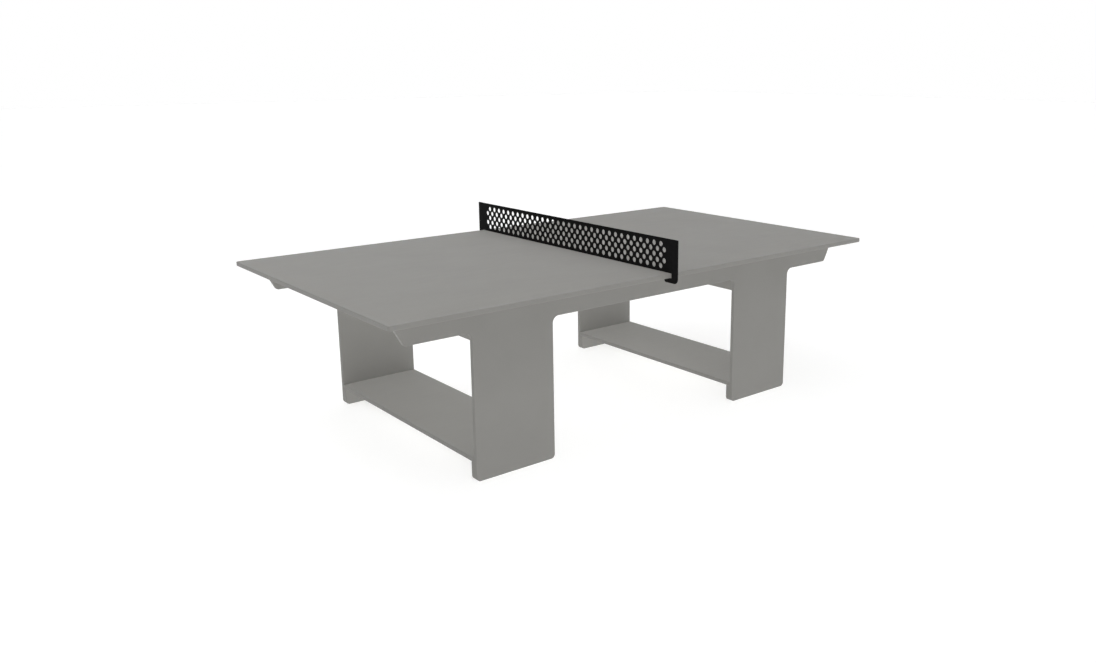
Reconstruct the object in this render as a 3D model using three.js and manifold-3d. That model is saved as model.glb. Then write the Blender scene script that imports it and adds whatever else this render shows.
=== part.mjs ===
// A ping pong table made of flat plastic sheet: one slab on two side frames, with two low
// shelves, cross rails and ribs under the slab, and a perforated net plate hooked round its edges.
// Millimetres. +X runs along the table, +Y across it, +Z up. The origin is on the floor, under
// the middle of the table.
import * as THREE from 'three';
import { mergeVertices } from 'three/addons/utils/BufferGeometryUtils.js';
import Module from 'manifold-3d';

// Table, as the rules of the game give it.
const TABLE_LENGTH = 2740;
const TABLE_WIDTH = 1525;
const TABLE_HEIGHT = 760;
const NET_HEIGHT = 152.5;

// All plastic pieces are cut from one thickness of sheet.
const SHEET = 20;
const SLAB_BOTTOM = TABLE_HEIGHT - SHEET;
const SLAB_CORNER_RADIUS = 12;

// Side frames: a beam with slanted ends and two legs, in one piece.
const FRAME_OUTER = 628;
const FRAME_INNER = FRAME_OUTER - SHEET;
const BEAM_BOTTOM = 631.5;
const BEAM_TOP_HALF = 1300;
const BEAM_BOTTOM_HALF = 1243;
const BEAM_CORNER_RADIUS = 18;
const LEG_INNER_X = 552;
const LEG_OUTER_X = 947;
const LEG_MIDDLE_X = (LEG_INNER_X + LEG_OUTER_X) / 2;
const LEG_WIDTH = LEG_OUTER_X - LEG_INNER_X;
const LEG_FILLET_RADIUS = 30;
const FOOT_CORNER_RADIUS = 20;

// Shelves rest on a second layer of sheet inside each leg.
const SHELF_TOP = 100;
const SHELF_BOTTOM = SHELF_TOP - SHEET;

// Two cross rails stand between the frames at each pair of legs.
const RAIL_DEPTH = 200;
const RAIL_BOTTOM = SLAB_BOTTOM - RAIL_DEPTH;
const RAIL_OFFSET = 82;

// Upright cleats join the rails to the frames.
const CLEAT_WIDTH = 40;
const CLEAT_BOTTOM = RAIL_BOTTOM + 5;

// Ledgers run along the beams, flat under the slab.
const LEDGER_WIDTH = 40;
const LEDGER_HALF_LENGTH = 1270;
const LEDGER_BOTTOM = SLAB_BOTTOM - SHEET;
const CLEAT_TOP = LEDGER_BOTTOM - 1;

// Shallow ribs stiffen the slab between the frames.
const RIB_DEPTH = 90;
const RIB_BOTTOM = SLAB_BOTTOM - RIB_DEPTH;
const RIB_STATIONS = [-1190, -330, 0, 330, 1190];

// Net plate.
const NET_THICKNESS = 4;
const NET_OVERHANG = 39.5;
const NET_HALF = TABLE_WIDTH / 2 + NET_OVERHANG;
const NET_TOP = TABLE_HEIGHT + NET_HEIGHT;
const NET_CORNER_RADIUS = 2.5;
const SLOT_SIDE_CLEARANCE = 0.7;
const SLOT_BOTTOM_CLEARANCE = 2.4;
const HOOK_REACH = 44;
const HOOK_THICKNESS = 21.6;
const HOOK_TIP_RADIUS = 9;
const HOOK_OUTER_RADIUS = 22;
const HOLE_ROWS = 5;
const HOLE_ROW_SPACING = 24.8;
const HOLE_PITCH = 44.6;
const HOLES_IN_ODD_ROW = 32;
const HOLES_IN_EVEN_ROW = 33;
const HOLE_RADIUS = 12;
const HOLE_SIDES = 8;
const HOLE_MIDDLE_HEIGHT = 74.6;

// Fasteners.
const FIT_GAP = 0.3;
const FASTENER_SIDES = 8;
const BOLT_RADIUS = 3;
const BOLT_LENGTH = 66;
const BOLT_HEAD_RADIUS = 6.5;
const BOLT_HEAD_HEIGHT = 4;
const BOLT_HEIGHTS = [582, 688];
const SCREW_RADIUS = 2.5;
const SCREW_LENGTH = 34;
const SCREW_HEAD_RADIUS = 5.5;
const SCREW_HEAD_HEIGHT = 3.5;
const SCREW_HOLE_SPARE_DEPTH = 1.5;
const SCREW_STATIONS = [165, 495, 1015];

const CORNER_STEPS = 8;
const SIDES = [['front', -1], ['back', 1]];
const ENDS = [['left', -1], ['right', 1]];

const sheetMaterial = new THREE.MeshStandardMaterial({ color: 0x868582, roughness: 0.55, metalness: 0 });
const netMaterial = new THREE.MeshStandardMaterial({ color: 0x171717, roughness: 0.5, metalness: 0 });
const steelMaterial = new THREE.MeshStandardMaterial({ color: 0xb4b4b0, roughness: 0.3, metalness: 1 });

const wasm = await Module();
wasm.setup();

const table = new THREE.Group();

// The closed outline through corners [u, v, radius], each one turned by an arc of its radius.
function roundedOutline(corners) {
  const points = [];
  corners.forEach(([u, v, radius = 0], index) => {
    const corner = new THREE.Vector2(u, v);
    if (radius === 0) {
      points.push(corner);
      return;
    }
    const [beforeU, beforeV] = corners.at(index - 1);
    const [afterU, afterV] = corners[(index + 1) % corners.length];
    const towardsBefore = new THREE.Vector2(beforeU, beforeV).sub(corner).normalize();
    const towardsAfter = new THREE.Vector2(afterU, afterV).sub(corner).normalize();
    const halfAngle = Math.acos(towardsBefore.dot(towardsAfter)) / 2;
    const inwards = towardsBefore.clone().add(towardsAfter).normalize();
    const centre = corner.clone().addScaledVector(inwards, radius / Math.sin(halfAngle));
    const tangent = radius / Math.tan(halfAngle);
    const first = corner.clone().addScaledVector(towardsBefore, tangent).sub(centre);
    const last = corner.clone().addScaledVector(towardsAfter, tangent).sub(centre);
    const sweep = Math.atan2(first.cross(last), first.dot(last));
    for (let step = 0; step <= CORNER_STEPS; step += 1) {
      const spoke = first.clone().rotateAround(new THREE.Vector2(), (sweep * step) / CORNER_STEPS);
      points.push(spoke.add(centre));
    }
  });
  return points;
}

// The closed outline made of a right half, listed from the bottom up, and its mirror image.
function mirroredCorners(rightHalf) {
  const leftHalf = rightHalf.map(([u, v, radius]) => [-u, v, radius]).reverse();
  return [...rightHalf, ...leftHalf];
}

function circle(u, v, radius, sides) {
  const hole = new THREE.Path();
  for (let side = 0; side < sides; side += 1) {
    const angle = ((side + 0.5) / sides) * 2 * Math.PI;
    const point = [u + radius * Math.cos(angle), v + radius * Math.sin(angle)];
    if (side === 0) hole.moveTo(...point);
    else hole.lineTo(...point);
  }
  hole.closePath();
  return hole;
}

const X = new THREE.Vector3(1, 0, 0);
const Y = new THREE.Vector3(0, 1, 0);
const Z = new THREE.Vector3(0, 0, 1);
const PLANES = {
  xy: new THREE.Matrix4().makeBasis(X, Y, Z),
  xz: new THREE.Matrix4().makeBasis(X, Z, Y.clone().negate()),
  yz: new THREE.Matrix4().makeBasis(Y, Z, X),
};

// A piece cut from flat sheet: an outline in one plane, and its thickness about that plane.
function cutSheet(plane, corners, thickness, holes = []) {
  const shape = new THREE.Shape(roundedOutline(corners));
  shape.holes = holes;
  const geometry = new THREE.ExtrudeGeometry(shape, { depth: thickness, bevelEnabled: false });
  geometry.translate(0, 0, -thickness / 2);
  geometry.applyMatrix4(PLANES[plane]);
  return geometry;
}

function rectangle(uLow, vLow, uHigh, vHigh) {
  return [[uLow, vLow], [uHigh, vLow], [uHigh, vHigh], [uLow, vHigh]];
}

function addPiece(name, geometry, material, position = [0, 0, 0]) {
  const mesh = new THREE.Mesh(geometry, material);
  mesh.name = name;
  mesh.position.set(...position);
  table.add(mesh);
  return mesh;
}

// A screw or bolt along +Z: a domed head below z = 0 and a plain shank with a blunt point above.
function fastener(radius, length, headRadius, headHeight) {
  const profile = [
    [0, -headHeight],
    [headRadius * 0.6, -headHeight],
    [headRadius, -headHeight * 0.45],
    [headRadius, -FIT_GAP],
    [radius, -FIT_GAP],
    [radius, length - radius * 2],
    [0, length],
  ];
  const points = profile.map(([r, z]) => new THREE.Vector2(r, z));
  const geometry = new THREE.LatheGeometry(points, FASTENER_SIDES);
  geometry.rotateX(Math.PI / 2);
  return geometry;
}

function toManifold(geometry) {
  const bare = geometry.clone();
  bare.deleteAttribute('normal');
  bare.deleteAttribute('uv');
  const merged = mergeVertices(bare);
  const vertProperties = new Float32Array(merged.attributes.position.array);
  const triVerts = new Uint32Array(merged.index.array);
  return new wasm.Manifold(new wasm.Mesh({ numProp: 3, vertProperties, triVerts }));
}

function fromManifold(solid) {
  const { vertProperties, triVerts } = solid.getMesh();
  const geometry = new THREE.BufferGeometry();
  geometry.setAttribute('position', new THREE.BufferAttribute(new Float32Array(vertProperties), 3));
  geometry.setIndex(new THREE.BufferAttribute(new Uint32Array(triVerts), 1));
  return geometry;
}

// The places of the screws that go up through the ledgers into the slab.
function topScrewPlaces() {
  const places = [];
  for (const [side, across] of SIDES) {
    for (const [end, along] of ENDS) {
      SCREW_STATIONS.forEach((station, index) => {
        places.push({
          name: `top_screw_${side}_${end}_${index + 1}`,
          x: along * station,
          y: across * (FRAME_INNER - LEDGER_WIDTH / 2),
        });
      });
    }
  }
  return places;
}

function makeTop() {
  const halfLength = TABLE_LENGTH / 2;
  const halfWidth = TABLE_WIDTH / 2;
  const corners = rectangle(-halfLength, -halfWidth, halfLength, halfWidth);
  const rounded = corners.map(([x, y]) => [x, y, SLAB_CORNER_RADIUS]);
  let slab = toManifold(cutSheet('xy', rounded, SHEET));
  const shankAboveLedger = SCREW_LENGTH - SHEET;
  const holeDepth = shankAboveLedger + SCREW_HOLE_SPARE_DEPTH;
  const mouth = 1;
  for (const { x, y } of topScrewPlaces()) {
    const drill = new THREE.CylinderGeometry(
      SCREW_RADIUS + FIT_GAP,
      SCREW_RADIUS + FIT_GAP,
      holeDepth + mouth,
      FASTENER_SIDES,
    );
    drill.rotateX(Math.PI / 2);
    drill.translate(x, y, -SHEET / 2 + (holeDepth - mouth) / 2);
    slab = slab.subtract(toManifold(drill));
  }
  addPiece('top_panel', fromManifold(slab), sheetMaterial, [0, 0, SLAB_BOTTOM + SHEET / 2]);
}

function makeSideFrames() {
  const corners = mirroredCorners([
    [LEG_INNER_X, BEAM_BOTTOM, LEG_FILLET_RADIUS],
    [LEG_INNER_X, 0, FOOT_CORNER_RADIUS],
    [LEG_OUTER_X, 0, FOOT_CORNER_RADIUS],
    [LEG_OUTER_X, BEAM_BOTTOM, LEG_FILLET_RADIUS],
    [BEAM_BOTTOM_HALF, BEAM_BOTTOM, BEAM_CORNER_RADIUS],
    [BEAM_TOP_HALF, SLAB_BOTTOM],
  ]);
  for (const [side, across] of SIDES) {
    const y = across * (FRAME_OUTER - SHEET / 2);
    addPiece(`side_frame_${side}`, cutSheet('xz', corners, SHEET), sheetMaterial, [0, y, 0]);
  }
}

function makeShelvesAndDoublers() {
  const shelf = rectangle(-LEG_WIDTH / 2, -FRAME_INNER, LEG_WIDTH / 2, FRAME_INNER);
  const doubler = [
    [-LEG_WIDTH / 2, 0, FOOT_CORNER_RADIUS],
    [LEG_WIDTH / 2, 0, FOOT_CORNER_RADIUS],
    [LEG_WIDTH / 2, SHELF_BOTTOM],
    [-LEG_WIDTH / 2, SHELF_BOTTOM],
  ];
  for (const [end, along] of ENDS) {
    const x = along * LEG_MIDDLE_X;
    addPiece(`shelf_${end}`, cutSheet('xy', shelf, SHEET), sheetMaterial, [x, 0, SHELF_TOP - SHEET / 2]);
    for (const [side, across] of SIDES) {
      const y = across * (FRAME_INNER - SHEET / 2);
      addPiece(`leg_doubler_${side}_${end}`, cutSheet('xz', doubler, SHEET), sheetMaterial, [x, y, 0]);
    }
  }
}

// A board between the frames, with its top corners cut away round the ledgers.
function crossBoard(bottom, holes = []) {
  const shoulder = FRAME_INNER - LEDGER_WIDTH - FIT_GAP;
  const notchBottom = LEDGER_BOTTOM - FIT_GAP;
  const corners = mirroredCorners([
    [FRAME_INNER, bottom],
    [FRAME_INNER, notchBottom],
    [shoulder, notchBottom],
    [shoulder, SLAB_BOTTOM],
  ]);
  return cutSheet('yz', corners, SHEET, holes);
}

function boltHoles(places) {
  return places.map(([y, z]) => circle(y, z, BOLT_RADIUS + FIT_GAP, FASTENER_SIDES));
}

function makeRails() {
  const boltY = FRAME_INNER - SHEET / 2;
  const railHoles = SIDES.flatMap(([, across]) => BOLT_HEIGHTS.map((z) => [across * boltY, z]));
  const cleat = rectangle(-SHEET / 2, CLEAT_BOTTOM, SHEET / 2, CLEAT_TOP);
  const cleatHoles = BOLT_HEIGHTS.map((z) => [0, z]);
  const bolt = fastener(BOLT_RADIUS, BOLT_LENGTH, BOLT_HEAD_RADIUS, BOLT_HEAD_HEIGHT);
  for (const [end, along] of ENDS) {
    for (const [row, away] of [['inner', -1], ['outer', 1]]) {
      const outwards = along * away;
      const x = along * LEG_MIDDLE_X + outwards * RAIL_OFFSET;
      const rail = crossBoard(RAIL_BOTTOM, boltHoles(railHoles));
      addPiece(`cross_rail_${end}_${row}`, rail, sheetMaterial, [x, 0, 0]);
      for (const [side, across] of SIDES) {
        const cleatX = x - outwards * (SHEET + CLEAT_WIDTH) / 2;
        const board = cutSheet('yz', cleat, CLEAT_WIDTH, boltHoles(cleatHoles));
        const place = [cleatX, across * boltY, 0];
        addPiece(`rail_cleat_${side}_${end}_${row}`, board, sheetMaterial, place);
        BOLT_HEIGHTS.forEach((z, index) => {
          const name = `rail_bolt_${side}_${end}_${row}_${index + 1}`;
          const head = [x + (outwards * SHEET) / 2, across * boltY, z];
          const mesh = addPiece(name, bolt.clone(), steelMaterial, head);
          mesh.rotation.y = (-outwards * Math.PI) / 2;
        });
      }
    }
  }
}

function makeTopSupports() {
  const ledger = rectangle(-LEDGER_HALF_LENGTH, -LEDGER_WIDTH / 2, LEDGER_HALF_LENGTH, LEDGER_WIDTH / 2);
  for (const [side, across] of SIDES) {
    const y = across * (FRAME_INNER - LEDGER_WIDTH / 2);
    const stations = SCREW_STATIONS.flatMap((station) => [-station, station]);
    const holes = stations.map((x) => circle(x, 0, SCREW_RADIUS + FIT_GAP, FASTENER_SIDES));
    const board = cutSheet('xy', ledger, SHEET, holes);
    addPiece(`top_ledger_${side}`, board, sheetMaterial, [0, y, LEDGER_BOTTOM + SHEET / 2]);
  }
  RIB_STATIONS.forEach((x, index) => {
    addPiece(`top_rib_${index + 1}`, crossBoard(RIB_BOTTOM), sheetMaterial, [x, 0, 0]);
  });
  for (const { name, x, y } of topScrewPlaces()) {
    const screw = fastener(SCREW_RADIUS, SCREW_LENGTH, SCREW_HEAD_RADIUS, SCREW_HEAD_HEIGHT);
    addPiece(name, screw, steelMaterial, [x, y, LEDGER_BOTTOM]);
  }
}

// Five rows of round holes, with the even rows set off by half a pitch.
function netHoles() {
  const holes = [];
  for (let row = 0; row < HOLE_ROWS; row += 1) {
    const z = TABLE_HEIGHT + HOLE_MIDDLE_HEIGHT + (row - (HOLE_ROWS - 1) / 2) * HOLE_ROW_SPACING;
    const count = row % 2 === 0 ? HOLES_IN_ODD_ROW : HOLES_IN_EVEN_ROW;
    for (let column = 0; column < count; column += 1) {
      const y = (column - (count - 1) / 2) * HOLE_PITCH;
      holes.push(circle(y, z, HOLE_RADIUS, HOLE_SIDES));
    }
  }
  return holes;
}

function makeNet() {
  const slotSide = TABLE_WIDTH / 2 + SLOT_SIDE_CLEARANCE;
  const slotTop = TABLE_HEIGHT + FIT_GAP;
  const slotBottom = SLAB_BOTTOM - SLOT_BOTTOM_CLEARANCE;
  const hookTip = TABLE_WIDTH / 2 - HOOK_REACH;
  const corners = mirroredCorners([
    [slotSide, slotTop],
    [slotSide, slotBottom],
    [hookTip, slotBottom, HOOK_TIP_RADIUS],
    [hookTip, slotBottom - HOOK_THICKNESS, HOOK_TIP_RADIUS],
    [NET_HALF, slotBottom - HOOK_THICKNESS, HOOK_OUTER_RADIUS],
    [NET_HALF, NET_TOP, NET_CORNER_RADIUS],
  ]);
  addPiece('net_plate', cutSheet('yz', corners, NET_THICKNESS, netHoles()), netMaterial);
}

makeTop();
makeSideFrames();
makeShelvesAndDoublers();
makeRails();
makeTopSupports();
makeNet();

export default table;
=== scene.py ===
"""A ping pong table of thick grey plastic sheet, with a black perforated net plate.

Metres, in the row's frame: +X along the table, +Y across it, +Z up, and the floor at zero.
Each piece takes its outline and its place from the CAD node that it stands for.
"""
import math

import bmesh
import bpy
from mathutils import Matrix, Vector
from mathutils.geometry import tessellate_polygon


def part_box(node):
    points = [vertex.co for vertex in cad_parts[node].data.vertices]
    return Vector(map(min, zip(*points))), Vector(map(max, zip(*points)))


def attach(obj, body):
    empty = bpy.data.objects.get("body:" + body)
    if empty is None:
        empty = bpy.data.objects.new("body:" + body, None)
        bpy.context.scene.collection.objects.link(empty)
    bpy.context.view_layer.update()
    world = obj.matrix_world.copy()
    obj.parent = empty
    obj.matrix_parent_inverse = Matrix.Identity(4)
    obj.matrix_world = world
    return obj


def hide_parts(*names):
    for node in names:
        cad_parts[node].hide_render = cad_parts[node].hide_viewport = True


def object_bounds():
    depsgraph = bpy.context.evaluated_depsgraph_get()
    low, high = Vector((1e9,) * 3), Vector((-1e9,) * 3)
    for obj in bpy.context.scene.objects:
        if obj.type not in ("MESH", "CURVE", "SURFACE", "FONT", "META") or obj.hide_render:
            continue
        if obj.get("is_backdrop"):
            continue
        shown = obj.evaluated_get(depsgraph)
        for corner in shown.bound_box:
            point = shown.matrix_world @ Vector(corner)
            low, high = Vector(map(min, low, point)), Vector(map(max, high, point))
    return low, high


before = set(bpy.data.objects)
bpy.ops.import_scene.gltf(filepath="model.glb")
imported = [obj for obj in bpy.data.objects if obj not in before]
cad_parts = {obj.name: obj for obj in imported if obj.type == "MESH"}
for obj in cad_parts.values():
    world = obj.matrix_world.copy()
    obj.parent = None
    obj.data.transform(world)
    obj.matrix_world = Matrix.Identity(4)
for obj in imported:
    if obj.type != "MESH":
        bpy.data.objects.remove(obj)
cad_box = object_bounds()

# The camera's place, where it looks, and its lens.
CAMERA_PLACE = Vector((-2.8894, -3.8123, 1.6647))
CAMERA_YAW = math.radians(39.994)
CAMERA_PITCH = math.radians(12.81)
CAMERA_ROLL = math.radians(-0.106)
CAMERA_LENS = 31.99
CAMERA_SHIFT = (-0.0603, -0.0429)

# The floor and the light.
FLOOR_SIZE = 80.0
FLOOR_GLOW = 0.115
SKY_LIGHT = 0.25
SKY_SEEN = 1.0
KEY_PLACE = Vector((-2.4, 0.6, 3.4))
KEY_TARGET = Vector((-1.2, 0.0, 0.7))
KEY_SIZE = 3.0
KEY_POWER = 15.0
# Wide soft suns: (way, strength, whether it casts shadows).
SUNS = (
    ((0.0, 0.0, -1.0), 1.0, True),
    ((0.0, 0.0, -1.0), 0.92, False),
    ((0.0, 1.0, 0.0), 0.645, False),
    ((-0.64, -0.77, 0.0), 0.68, False),
)
SUN_ANGLE = math.radians(90)
# A soft lamp just under the slab, facing down. It casts no shadow.
UNDER_GAP = 0.002
UNDER_SIZE = (2.2, 1.2)
UNDER_POWER = 5.0

# Linear colours.
WHITE = (1, 1, 1, 1)
SHEET_DARK = (0.229, 0.225, 0.212, 1)
SHEET_LIGHT = (0.245, 0.241, 0.227, 1)
# A lighter colour for the rounded edges: partly edge wear, partly a painted highlight.
SHEET_WORN_AND_HIGHLIGHT = (0.254, 0.250, 0.236, 1)
NET_DARK = (0.0105, 0.0105, 0.0105, 1)
NET_LIGHT = (0.0135, 0.0135, 0.0134, 1)
# A lighter colour for the net's rounded edges: partly wear, partly a painted highlight.
NET_WORN_AND_HIGHLIGHT = (0.022, 0.022, 0.022, 1)
STEEL_DARK = (0.46, 0.46, 0.45, 1)
STEEL_LIGHT = (0.62, 0.62, 0.61, 1)
FLOOR_DARK = (0.962, 0.962, 0.962, 1)
FLOOR_LIGHT = (0.97, 0.97, 0.97, 1)

# How strongly each surface mirrors, and the heights of its fine relief.
SHEET_SPECULAR = 0.4
NET_SPECULAR = 0.01
FLOOR_SPECULAR = 0.1
FLOOR_ROUGHNESS = 0.9
STIPPLE_HEIGHT = 0.00005
WAVE_HEIGHT = 0.00002
CUTTER_MARK_HEIGHT = 0.00007
ORANGE_PEEL_HEIGHT = 0.00003
STEEL_GRAIN_HEIGHT = 0.000004
# The part of a noise's range that most of its values lie in.
NOISE_LOW, NOISE_HIGH = 0.3, 0.7
# The sheet's tone is mostly broad patches, with some fine flecks.
PATCH_SHARE, FLECK_SHARE = 0.65, 0.35
# How far the net's rounded edges go lighter: partly wear, partly a painted highlight.
NET_WEAR_AND_HIGHLIGHT = 0.35
# Cutter marks: how many to the metre along an edge, and through the sheet.
MARKS_ALONG, MARKS_THROUGH = 620.0, 6.0

# The round that a router leaves along an edge, and the steps that it is made in.
SEEN_EDGE = 0.003
HIDDEN_EDGE = 0.0015
NET_EDGE = 0.0006
EDGE_STEPS = 4
CORNER_STEPS = 4
CORNER_SPARE = 1.25
SHARP_TURN = math.radians(20)
HOLE_SIDES = 32

# Sheet pieces: how their nodes' names start, the axis that they are cut along, and their edges.
X, Y, Z = 0, 1, 2
SHEETS = (
    ("top_panel", Z, SEEN_EDGE),
    ("side_frame_", Y, SEEN_EDGE),
    ("shelf_", Z, SEEN_EDGE),
    ("leg_doubler_", Y, HIDDEN_EDGE),
    ("cross_rail_", X, HIDDEN_EDGE),
    ("rail_cleat_", X, HIDDEN_EDGE),
    ("top_ledger_", Z, HIDDEN_EDGE),
    ("top_rib_", X, HIDDEN_EDGE),
)

# Screws: shank radius, head radius, head height, thread pitch.
BOLT = (0.0030, 0.0065, 0.0040, 0.0025)
SCREW = (0.0025, 0.0055, 0.0035, 0.0025)
SCREW_SIDES = 18
# Edges that turn less than this are shaded smooth.
SMOOTH_BELOW = math.radians(38)
# Shares of the head's radius.
SOCKET_RADIUS = 0.48
DOME_RADIUS = 0.62
SEAT_RADIUS = 0.97
# Shares of the head's height, from its seat.
SOCKET_FLOOR = 0.38
SOCKET_RIM = 0.96
DOME_FOOT = 0.4
# The socket's mouth is wider than the socket by this factor.
SOCKET_FLARE = 1.08
DOME_STEPS = 4
SEAT_ROUND = 0.0002
# Shares of the shank's radius.
NECK_RADIUS = 1.15
NECK_HEIGHT = 0.15
THREAD_ROOT = 0.72
THREAD_END = 2.5
POINT_START = 0.8
POINT_RADIUS = 0.4
# The part of the shank's length that has no thread.
PLAIN_SHARE = 0.25
THREAD_SHARPNESS = 1.5
THREAD_RINGS_PER_TURN = 3

# The hidden screws: shares of a cleat's height, and steps along a ledger from its middle.
CLEAT_SCREW_HEIGHTS = (0.12, 0.52, 0.92)
CLEAT_SCREW_LENGTH = 0.035
LEDGER_SCREW_STEPS = (-1.10, -0.75, -0.42, -0.09, 0.09, 0.42, 0.75, 1.10)
LEDGER_SCREW_LENGTH = 0.055

# Points closer than this are taken as one.
TOUCH = 0.00002


# ---------------------------------------------------------------- nodes

def add(tree, kind, inputs=None, **settings):
    """Adds a shader node. An input is a value or the socket that feeds it."""
    made = tree.nodes.new("ShaderNode" + kind)
    for key, value in settings.items():
        setattr(made, key, value)
    for key, value in (inputs or {}).items():
        if isinstance(value, bpy.types.NodeSocket):
            tree.links.new(value, made.inputs[key])
        else:
            made.inputs[key].default_value = value
    return made


def new_material(name):
    material = bpy.data.materials.new(name)
    material.use_nodes = True
    tree = material.node_tree
    return material, tree, tree.nodes["Principled BSDF"]


def object_place(tree):
    return add(tree, "TexCoord").outputs["Object"]


def stretched(tree, place, scale):
    return add(tree, "Mapping", {"Vector": place, "Scale": scale}).outputs["Vector"]


def noise(tree, place, scale, detail=2.0, roughness=0.5):
    """A noise with about as many features to the metre as its scale."""
    inputs = {"Vector": place, "Scale": scale, "Detail": detail, "Roughness": roughness}
    return add(tree, "TexNoise", inputs).outputs["Fac"]


def spread(tree, value, low, high, to_low, to_high):
    """Maps low..high of a value to another range, and holds it there."""
    inputs = {
        "Value": value,
        "From Min": low,
        "From Max": high,
        "To Min": to_low,
        "To Max": to_high,
    }
    return add(tree, "MapRange", inputs).outputs["Result"]


def varied(tree, value, to_low=0.0, to_high=1.0):
    """A noise spread over a range."""
    return spread(tree, value, NOISE_LOW, NOISE_HIGH, to_low, to_high)


def added(tree, first, second):
    return maths(tree, "ADD", first, second)


def times(tree, first, second):
    return maths(tree, "MULTIPLY", first, second)


def maths(tree, operation, first, second):
    made = add(tree, "Math", operation=operation)
    for socket, value in zip(made.inputs, (first, second)):
        if isinstance(value, bpy.types.NodeSocket):
            tree.links.new(value, socket)
        else:
            socket.default_value = value
    return made.outputs["Value"]


def mixed(tree, factor, first, second):
    made = add(tree, "Mix", data_type="RGBA")
    for key, value in (("Factor_Float", factor), ("A_Color", first), ("B_Color", second)):
        socket = next(s for s in made.inputs if s.identifier == key)
        if isinstance(value, bpy.types.NodeSocket):
            tree.links.new(value, socket)
        else:
            socket.default_value = value
    return next(s for s in made.outputs if s.identifier == "Result_Color")


def painted(tree, name):
    """The value that a mesh carries for each of its points."""
    return add(tree, "Attribute", attribute_name=name).outputs["Fac"]


def bumped(tree, heights):
    """A bump from heights in metres."""
    inputs = {"Height": heights, "Distance": 1.0, "Strength": 1.0}
    return add(tree, "Bump", inputs).outputs["Normal"]


# ------------------------------------------------------------ materials

def sheet_material(axis):
    """Solid-coloured plastic sheet: fine stipple on its flat sides, cutter marks on its edges."""
    material, tree, shader = new_material("sheet_grey_" + "xyz"[axis])
    place = object_place(tree)
    patches = varied(tree, noise(tree, place, 5.0, detail=3.0))
    flecks = varied(tree, noise(tree, place, 260.0))
    tone = added(tree, times(tree, patches, PATCH_SHARE), times(tree, flecks, FLECK_SHARE))
    colour = mixed(tree, tone, SHEET_DARK, SHEET_LIGHT)
    # The rounded edges turn lighter, most halfway round: partly edge wear, partly a painted
    # highlight.
    wear_and_highlight = varied(tree, noise(tree, place, 30.0), 0.25, 0.6)
    worn_and_highlight = times(tree, painted(tree, "worn_and_highlight"), wear_and_highlight)
    tree.links.new(mixed(tree, worn_and_highlight, colour, SHEET_WORN_AND_HIGHLIGHT), shader.inputs["Base Color"])

    scuffs = noise(tree, stretched(tree, place, (3.0, 22.0, 22.0)), 2.0, detail=4.0, roughness=0.6)
    tree.links.new(varied(tree, scuffs, 0.53, 0.56), shader.inputs["Roughness"])

    stipple = times(tree, noise(tree, place, 420.0), STIPPLE_HEIGHT)
    waves = times(tree, noise(tree, place, 7.0, detail=1.0), WAVE_HEIGHT)
    # Cutter marks run straight through the thickness, so they are stretched along the axis.
    marks_scale = [MARKS_ALONG] * 3
    marks_scale[axis] = MARKS_THROUGH
    marks = noise(tree, stretched(tree, place, marks_scale), 1.0, detail=1.0)
    cut = times(tree, painted(tree, "cut"), times(tree, marks, CUTTER_MARK_HEIGHT))
    heights = added(tree, added(tree, stipple, waves), cut)
    tree.links.new(bumped(tree, heights), shader.inputs["Normal"])
    shader.inputs["Specular IOR Level"].default_value = SHEET_SPECULAR
    return material


def net_material():
    """Black powder coat on a metal plate."""
    material, tree, shader = new_material("net_black")
    place = object_place(tree)
    tone = varied(tree, noise(tree, place, 60.0, detail=3.0))
    colour = mixed(tree, tone, NET_DARK, NET_LIGHT)
    # The rounded edges turn lighter: partly wear, partly a painted highlight.
    worn_and_highlight = times(tree, painted(tree, "worn_and_highlight"), NET_WEAR_AND_HIGHLIGHT)
    tree.links.new(mixed(tree, worn_and_highlight, colour, NET_WORN_AND_HIGHLIGHT), shader.inputs["Base Color"])
    roughness = varied(tree, noise(tree, place, 40.0), 0.44, 0.54)
    tree.links.new(roughness, shader.inputs["Roughness"])
    peel = times(tree, noise(tree, place, 520.0, detail=1.0), ORANGE_PEEL_HEIGHT)
    tree.links.new(bumped(tree, peel), shader.inputs["Normal"])
    shader.inputs["Specular IOR Level"].default_value = NET_SPECULAR
    return material


def steel_material():
    """Plain stainless steel with a fine drawn grain."""
    material, tree, shader = new_material("fastener_steel")
    place = object_place(tree)
    tone = varied(tree, noise(tree, place, 900.0))
    tree.links.new(mixed(tree, tone, STEEL_DARK, STEEL_LIGHT), shader.inputs["Base Color"])
    roughness = varied(tree, noise(tree, place, 1400.0), 0.28, 0.42)
    tree.links.new(roughness, shader.inputs["Roughness"])
    grain = times(tree, noise(tree, place, 2600.0, detail=1.0), STEEL_GRAIN_HEIGHT)
    tree.links.new(bumped(tree, grain), shader.inputs["Normal"])
    shader.inputs["Metallic"].default_value = 1.0
    return material


def floor_material():
    material, tree, shader = new_material("floor")
    tone = varied(tree, noise(tree, object_place(tree), 1.5, detail=3.0))
    tree.links.new(mixed(tree, tone, FLOOR_DARK, FLOOR_LIGHT), shader.inputs["Base Color"])
    shader.inputs["Roughness"].default_value = FLOOR_ROUGHNESS
    shader.inputs["Emission Color"].default_value = WHITE
    shader.inputs["Emission Strength"].default_value = FLOOR_GLOW
    shader.inputs["Specular IOR Level"].default_value = FLOOR_SPECULAR
    return material


# ------------------------------------------------------------- outlines

def across(axis):
    """The two other axes, in the order that makes a right-handed set."""
    return (axis + 1) % 3, (axis + 2) % 3


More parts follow.
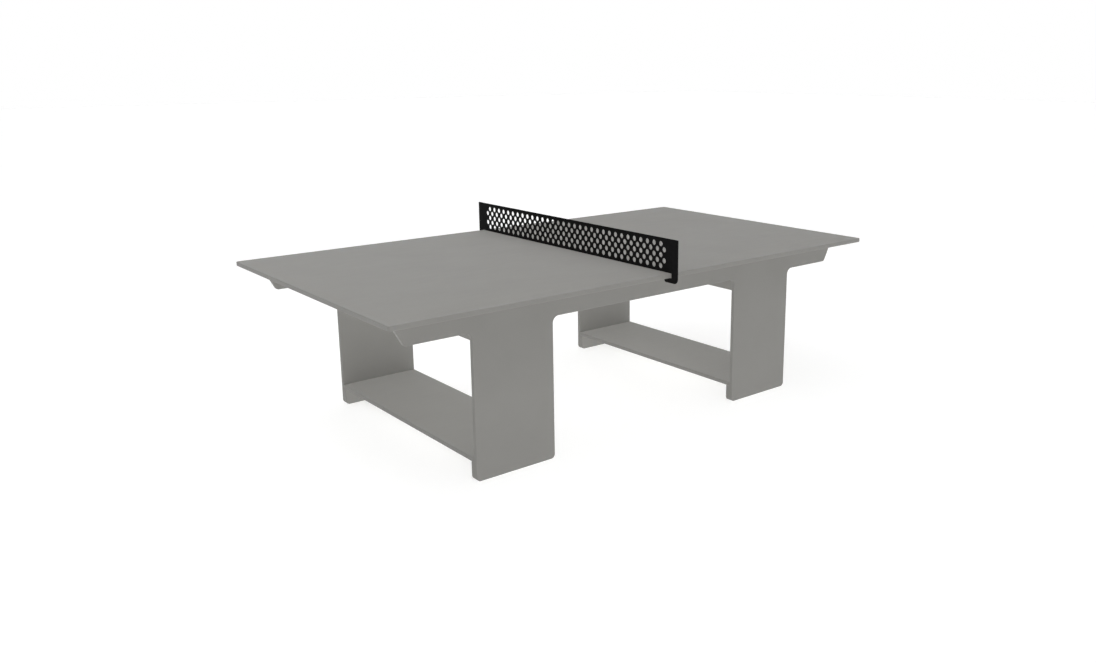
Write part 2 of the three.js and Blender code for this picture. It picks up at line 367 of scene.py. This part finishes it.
def flat_outlines(node, axis):
    """The closed outlines of a node's upper flat side, each with the material on its left."""
    shape = bmesh.new()
    shape.from_mesh(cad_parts[node].data)
    bmesh.ops.remove_doubles(shape, verts=shape.verts, dist=TOUCH)
    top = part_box(node)[1][axis]
    flat = {face for face in shape.faces if all(abs(v.co[axis] - top) < TOUCH for v in face.verts)}
    following = {}
    for face in flat:
        for corner in face.loops:
            if corner.link_loop_radial_next.face not in flat:
                following[corner.vert] = corner.link_loop_next.vert
    u, v = across(axis)
    outlines = []
    while following:
        start, vert = next(iter(following.items()))
        del following[start]
        chain = [start]
        while vert != start:
            chain.append(vert)
            vert = following.pop(vert)
        outlines.append([Vector((vert.co[u], vert.co[v])) for vert in chain])
    shape.free()
    return outlines


def enclosed_area(points):
    """Positive for an outline that runs anticlockwise, negative for a hole."""
    return sum(a.cross(b) for a, b in neighbours(points)) / 2


def neighbours(points):
    return zip(points, points[1:] + points[:1])


def arc(centre, first, last, steps):
    """Points from first to last round centre, the shorter way."""
    spoke, sweep = first - centre, (first - centre).angle_signed(last - centre)
    for step in range(steps + 1):
        # angle_signed is clockwise, and so is Matrix.Rotation of a negative angle.
        yield centre + Matrix.Rotation(-sweep * step / steps, 2) @ spoke


def eased(points, radius):
    """The same outline with each sharp corner turned by a small arc."""
    made = []
    for before, corner, after in zip(points[-1:] + points[:-1], points, points[1:] + points[:1]):
        back, on = (before - corner).normalized(), (after - corner).normalized()
        inner_angle = back.angle(on)
        if math.pi - inner_angle < SHARP_TURN:
            made.append(corner)
            continue
        centre = corner + (back + on).normalized() * radius / math.sin(inner_angle / 2)
        tangent = radius / math.tan(inner_angle / 2)
        made.extend(arc(centre, corner + back * tangent, corner + on * tangent, CORNER_STEPS))
    return made


def round_hole(points):
    """A smooth circle, running clockwise, through the corners of a many-sided hole."""
    centre = sum(points, Vector((0, 0))) / len(points)
    radius = (points[0] - centre).length
    angles = [-2 * math.pi * side / HOLE_SIDES for side in range(HOLE_SIDES)]
    return [centre + radius * Vector((math.cos(angle), math.sin(angle))) for angle in angles]


def outward_normals(points):
    """For each point, the way out of the material, and the step that keeps an inset's width."""
    normals, steps = [], []
    for before, corner, after in zip(points[-1:] + points[:-1], points, points[1:] + points[:1]):
        back, on = corner - before, after - corner
        left_back = Vector((-back.y, back.x)).normalized()
        left_on = Vector((-on.y, on.x)).normalized()
        steps.append((left_back + left_on) / (1 + left_back.dot(left_on)))
        # A long straight edge keeps its own normal at its ends.
        normals.append(-(left_back * back.length + left_on * on.length).normalized())
    return normals, steps


# --------------------------------------------------------------- pieces

def new_piece(name, mesh, material, body, slot, *nodes):
    """Adds a mesh to the scene as a piece that rides on a body and stands for CAD nodes."""
    mesh.materials.append(material)
    piece = bpy.data.objects.new(name, mesh)
    bpy.context.scene.collection.objects.link(piece)
    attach(piece, body)
    if nodes:
        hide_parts(*nodes)
    return piece


def paint(mesh, name, values):
    mesh.attributes.new(name, "FLOAT", "POINT").data.foreach_set("value", values)


def edge_profile(low, high, radius):
    """The rings of a rounded edge, from the low side to the high one: (inset, height, tilt)."""
    rings = []
    for middle, sign in ((low + radius, -1), (high - radius, 1)):
        tilts = [math.pi / 2 * step / EDGE_STEPS for step in range(EDGE_STEPS + 1)]
        for tilt in reversed(tilts) if sign < 0 else tilts:
            inset = radius * (1 - math.cos(tilt))
            rings.append((inset, middle + sign * radius * math.sin(tilt), sign * tilt))
    return rings


def sheet_mesh(name, outlines, axis, low, high, radius):
    """A flat piece between two heights, with every edge rounded."""
    u, v = across(axis)
    rings = edge_profile(low, high, radius)
    places, normals, worn_and_highlight, cut, faces = [], [], [], [], []
    flats = ([], [])
    for points in outlines:
        outwards, steps = outward_normals(points)
        count, start = len(points), len(places)
        for inset, height, tilt in rings:
            for point, out, step in zip(points, outwards, steps):
                place, normal = Vector((0, 0, 0)), Vector((0, 0, 0))
                place[u], place[v] = point + step * inset
                place[axis] = height
                normal[u], normal[v] = out * math.cos(tilt)
                normal[axis] = math.sin(tilt)
                places.append(place)
                normals.append(normal)
                # Strongest halfway round the edge: marks edge wear and a painted highlight.
                worn_and_highlight.append(math.sin(2 * abs(tilt)))
                cut.append(math.cos(tilt))
        for ring in range(len(rings) - 1):
            near = start + ring * count
            for here in range(count):
                on = (here + 1) % count
                faces.append((near + here, near + on, near + count + on, near + count + here))
        for side, ring in ((0, 0), (1, len(rings) - 1)):
            flats[side].append(range(start + ring * count, start + (ring + 1) * count))
    for side, loops in enumerate(flats):
        indices = [index for loop in loops for index in loop]
        flat = [[Vector((places[i][u], places[i][v], 0)) for i in loop] for loop in loops]
        for triangle in tessellate_polygon(flat):
            a, b, c = (indices[corner] for corner in triangle)
            area = (places[b] - places[a]).cross(places[c] - places[a])[axis]
            faces.append((a, b, c) if (area > 0) == (side == 1) else (a, c, b))
    mesh = bpy.data.meshes.new(name)
    mesh.from_pydata(places, [], faces)
    mesh.shade_smooth()
    mesh.normals_split_custom_set_from_vertices(normals)
    paint(mesh, "worn_and_highlight", worn_and_highlight)
    paint(mesh, "cut", cut)
    return mesh


def refined(outline, radius):
    """A hole becomes a true circle, and any other outline gets its sharp corners turned."""
    if enclosed_area(outline) < 0:
        return round_hole(outline)
    return eased(outline, radius * CORNER_SPARE)


def make_sheets():
    materials = [sheet_material(axis) for axis in (X, Y, Z)]
    for start, axis, radius in SHEETS:
        for node in sorted(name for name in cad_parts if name.startswith(start)):
            low, high = (corner[axis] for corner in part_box(node))
            outlines = [refined(outline, radius) for outline in flat_outlines(node, axis)]
            mesh = sheet_mesh(node + "_sheet", outlines, axis, low, high, radius)
            new_piece(node + "_sheet", mesh, materials[axis], "table", "sheet_grey", node)


def make_net():
    low, high = (corner[X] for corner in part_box("net_plate"))
    outlines = [refined(outline, NET_EDGE) for outline in flat_outlines("net_plate", X)]
    mesh = sheet_mesh("net_plate_coated", outlines, X, low, high, NET_EDGE)
    new_piece("net_plate_coated", mesh, net_material(), "net", "net_black", "net_plate")


# --------------------------------------------------------------- screws

def hexagon(angle):
    """How far a hexagon's side lies from its middle, where its corners lie at 1."""
    sixth = math.pi / 3
    return math.cos(sixth / 2) / math.cos(angle % sixth - sixth / 2)


def screw_rings(size, length):
    """The rings of a screw from its socket's floor to its point: (height, radius at an angle)."""
    radius, head_radius, head_height, pitch = size
    socket = head_radius * SOCKET_RADIUS
    rings = [
        (-head_height * SOCKET_FLOOR, lambda angle: socket * hexagon(angle)),
        (-head_height * SOCKET_RIM, lambda angle: socket * hexagon(angle)),
        (-head_height, lambda angle: socket * SOCKET_FLARE * hexagon(angle)),
    ]
    rounds = []
    for step in range(DOME_STEPS + 1):
        lean = math.pi / 2 * step / DOME_STEPS
        height = -head_height * (DOME_FOOT + (1 - DOME_FOOT) * math.cos(lean))
        rounds.append((height, head_radius * (DOME_RADIUS + (1 - DOME_RADIUS) * math.sin(lean))))
    rounds.append((-SEAT_ROUND, head_radius))
    rounds.append((0.0, head_radius * SEAT_RADIUS))
    rounds.append((0.0, radius * NECK_RADIUS))
    plain_end, thread_end = length * PLAIN_SHARE, length - radius * THREAD_END
    rounds.append((radius * NECK_HEIGHT, radius))
    rounds.append((plain_end, radius))
    for height, reach in rounds:
        rings.append((height, lambda angle, reach=reach: reach))
    count = round((thread_end - plain_end) / pitch * THREAD_RINGS_PER_TURN)
    for step in range(1, count + 1):
        height = plain_end + (thread_end - plain_end) * step / count

        def thread(angle, height=height):
            turn = (height / pitch - angle / (2 * math.pi)) % 1
            crest = (1 - abs(2 * turn - 1)) ** THREAD_SHARPNESS
            return radius * (THREAD_ROOT + (1 - THREAD_ROOT) * crest)

        rings.append((height, thread))
    rings.append((length - radius * POINT_START, lambda angle: radius * POINT_RADIUS))
    return rings


def add_screw(shape, head, way, size, length):
    """Adds one screw to a bmesh, with its head at a point and its shank along a way."""
    placed = Matrix.Translation(head) @ way.to_track_quat("Z", "Y").to_matrix().to_4x4()
    rows = []
    for height, reach in screw_rings(size, length):
        row = []
        for side in range(SCREW_SIDES):
            angle = 2 * math.pi * side / SCREW_SIDES
            spoke = Vector((math.cos(angle), math.sin(angle), 0)) * reach(angle)
            row.append(shape.verts.new(placed @ (spoke + Vector((0, 0, height)))))
        rows.append(row)
    for upper, lower in zip(rows, rows[1:]):
        for side in range(SCREW_SIDES):
            on = (side + 1) % SCREW_SIDES
            shape.faces.new((upper[side], lower[side], lower[on], upper[on]))
    floor = shape.verts.new(placed @ Vector((0, 0, -size[2] * SOCKET_FLOOR)))
    point = shape.verts.new(placed @ Vector((0, 0, length)))
    for side in range(SCREW_SIDES):
        on = (side + 1) % SCREW_SIDES
        shape.faces.new((floor, rows[0][side], rows[0][on]))
        shape.faces.new((point, rows[-1][on], rows[-1][side]))


def make_screws(name, material, places, size, length, *nodes):
    """One piece that holds a screw at each place: (head, way)."""
    shape = bmesh.new()
    for head, way in places:
        add_screw(shape, Vector(head), Vector(way), size, length)
    bmesh.ops.recalc_face_normals(shape, faces=shape.faces)
    for face in shape.faces:
        face.smooth = True
    for edge in shape.edges:
        edge.smooth = edge.calc_face_angle(0) < SMOOTH_BELOW
    mesh = bpy.data.meshes.new(name)
    shape.to_mesh(mesh)
    shape.free()
    new_piece(name, mesh, material, "table", "fastener_steel", *nodes)


def middle(node):
    low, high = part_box(node)
    return (low + high) / 2


def make_rail_bolts(material):
    for node in sorted(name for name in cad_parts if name.startswith("rail_bolt_")):
        _, _, side, end, row, _ = node.split("_")
        rail_low, rail_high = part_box(f"cross_rail_{end}_{row}")
        bolt_low, bolt_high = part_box(node)
        # A bolt's head stands less far out of its rail than its shank does.
        head_is_low = rail_low.x - bolt_low.x < bolt_high.x - rail_high.x
        head = middle(node)
        head.x = rail_low.x if head_is_low else rail_high.x
        way = (1, 0, 0) if head_is_low else (-1, 0, 0)
        length = (bolt_high.x - bolt_low.x) - BOLT[2]
        make_screws(node + "_threaded", material, [(head, way)], BOLT, length, node)


def make_top_screws(material):
    for node in sorted(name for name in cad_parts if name.startswith("top_screw_")):
        low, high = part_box(node)
        head = middle(node)
        head.z = low.z + SCREW[2]
        make_screws(node + "_threaded", material, [(head, (0, 0, 1))], SCREW, high.z - head.z, node)


def outward(node):
    """The way from the middle of the table to a node's side of it, and the node's inner face."""
    low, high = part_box(node)
    return (1, low.y) if low.y > 0 else (-1, high.y)


def make_hidden_screws(material):
    """The screws that hold cleats and ledgers to the side frames, from inside."""
    for node in sorted(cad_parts):
        low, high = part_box(node)
        centre = middle(node)
        if node.startswith("rail_cleat_"):
            heights = [low.z + (high.z - low.z) * part for part in CLEAT_SCREW_HEIGHTS]
            spots, length = [(centre.x, z) for z in heights], CLEAT_SCREW_LENGTH
        elif node.startswith("top_ledger_"):
            spots = [(centre.x + step, centre.z) for step in LEDGER_SCREW_STEPS]
            length = LEDGER_SCREW_LENGTH
        else:
            continue
        way, face = outward(node)
        places = [((x, face, z), (0, way, 0)) for x, z in spots]
        make_screws(node + "_screws", material, places, SCREW, length)


# ---------------------------------------------------------------- stage

def make_camera():
    data = bpy.data.cameras.new("camera")
    data.lens = CAMERA_LENS
    data.shift_x, data.shift_y = CAMERA_SHIFT
    camera = bpy.data.objects.new("camera", data)
    turn = Matrix.Rotation(-CAMERA_YAW, 4, "Z")
    turn = turn @ Matrix.Rotation(math.pi / 2 - CAMERA_PITCH, 4, "X")
    turn = turn @ Matrix.Rotation(CAMERA_ROLL, 4, "Z")
    camera.matrix_world = Matrix.Translation(CAMERA_PLACE) @ turn
    bpy.context.scene.collection.objects.link(camera)
    bpy.context.scene.camera = camera


def make_floor():
    shape = bmesh.new()
    bmesh.ops.create_grid(shape, x_segments=8, y_segments=8, size=FLOOR_SIZE / 2)
    mesh = bpy.data.meshes.new("floor")
    shape.to_mesh(mesh)
    shape.free()
    mesh.materials.append(floor_material())
    floor = bpy.data.objects.new("floor", mesh)
    bpy.context.scene.collection.objects.link(floor)
    floor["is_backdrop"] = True


def new_lamp(name, kind, way, energy):
    data = bpy.data.lights.new(name, kind)
    data.energy = energy
    lamp = bpy.data.objects.new(name, data)
    lamp.rotation_euler = way.to_track_quat("-Z", "Y").to_euler()
    bpy.context.scene.collection.objects.link(lamp)
    return lamp


def drop_shadow(lamp):
    """Lets a lamp's light pass through every piece."""
    lamp.data.use_shadow = False
    # With this on, a share of the light would come along rays that the pieces stop.
    lamp.data.cycles.use_multiple_importance_sampling = False


def make_light():
    world = bpy.data.worlds.new("studio")
    world.use_nodes = True
    tree = world.node_tree
    sky = tree.nodes["Background"]
    sky.inputs["Color"].default_value = WHITE
    seen = add(tree, "LightPath").outputs["Is Camera Ray"]
    tree.links.new(spread(tree, seen, 0.0, 1.0, SKY_LIGHT, SKY_SEEN), sky.inputs["Strength"])
    bpy.context.scene.world = world
    key = new_lamp("key", "AREA", KEY_TARGET - KEY_PLACE, KEY_POWER)
    key.location = KEY_PLACE
    key.data.shape = "DISK"
    key.data.size = KEY_SIZE
    for index, (way, strength, casts_shadow) in enumerate(SUNS):
        sun = new_lamp(f"sun_{index + 1}", "SUN", Vector(way), strength)
        sun.data.angle = SUN_ANGLE
        if not casts_shadow:
            drop_shadow(sun)
    slab_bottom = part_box("top_panel")[0].z
    under = new_lamp("under", "AREA", Vector((0, 0, -1)), UNDER_POWER)
    under.location.z = slab_bottom - UNDER_GAP
    under.data.shape = "RECTANGLE"
    under.data.size, under.data.size_y = UNDER_SIZE
    under.visible_camera = False
    drop_shadow(under)
    bpy.context.scene.view_settings.view_transform = "Standard"


make_camera()
make_floor()
make_light()
make_sheets()
make_net()
steel = steel_material()
make_rail_bolts(steel)
make_top_screws(steel)
make_hidden_screws(steel)

bpy.context.view_layer.update()
boxes = {"cad": cad_box, "visual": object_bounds()}
{name: [list(corner) for corner in box] for name, box in boxes.items()}
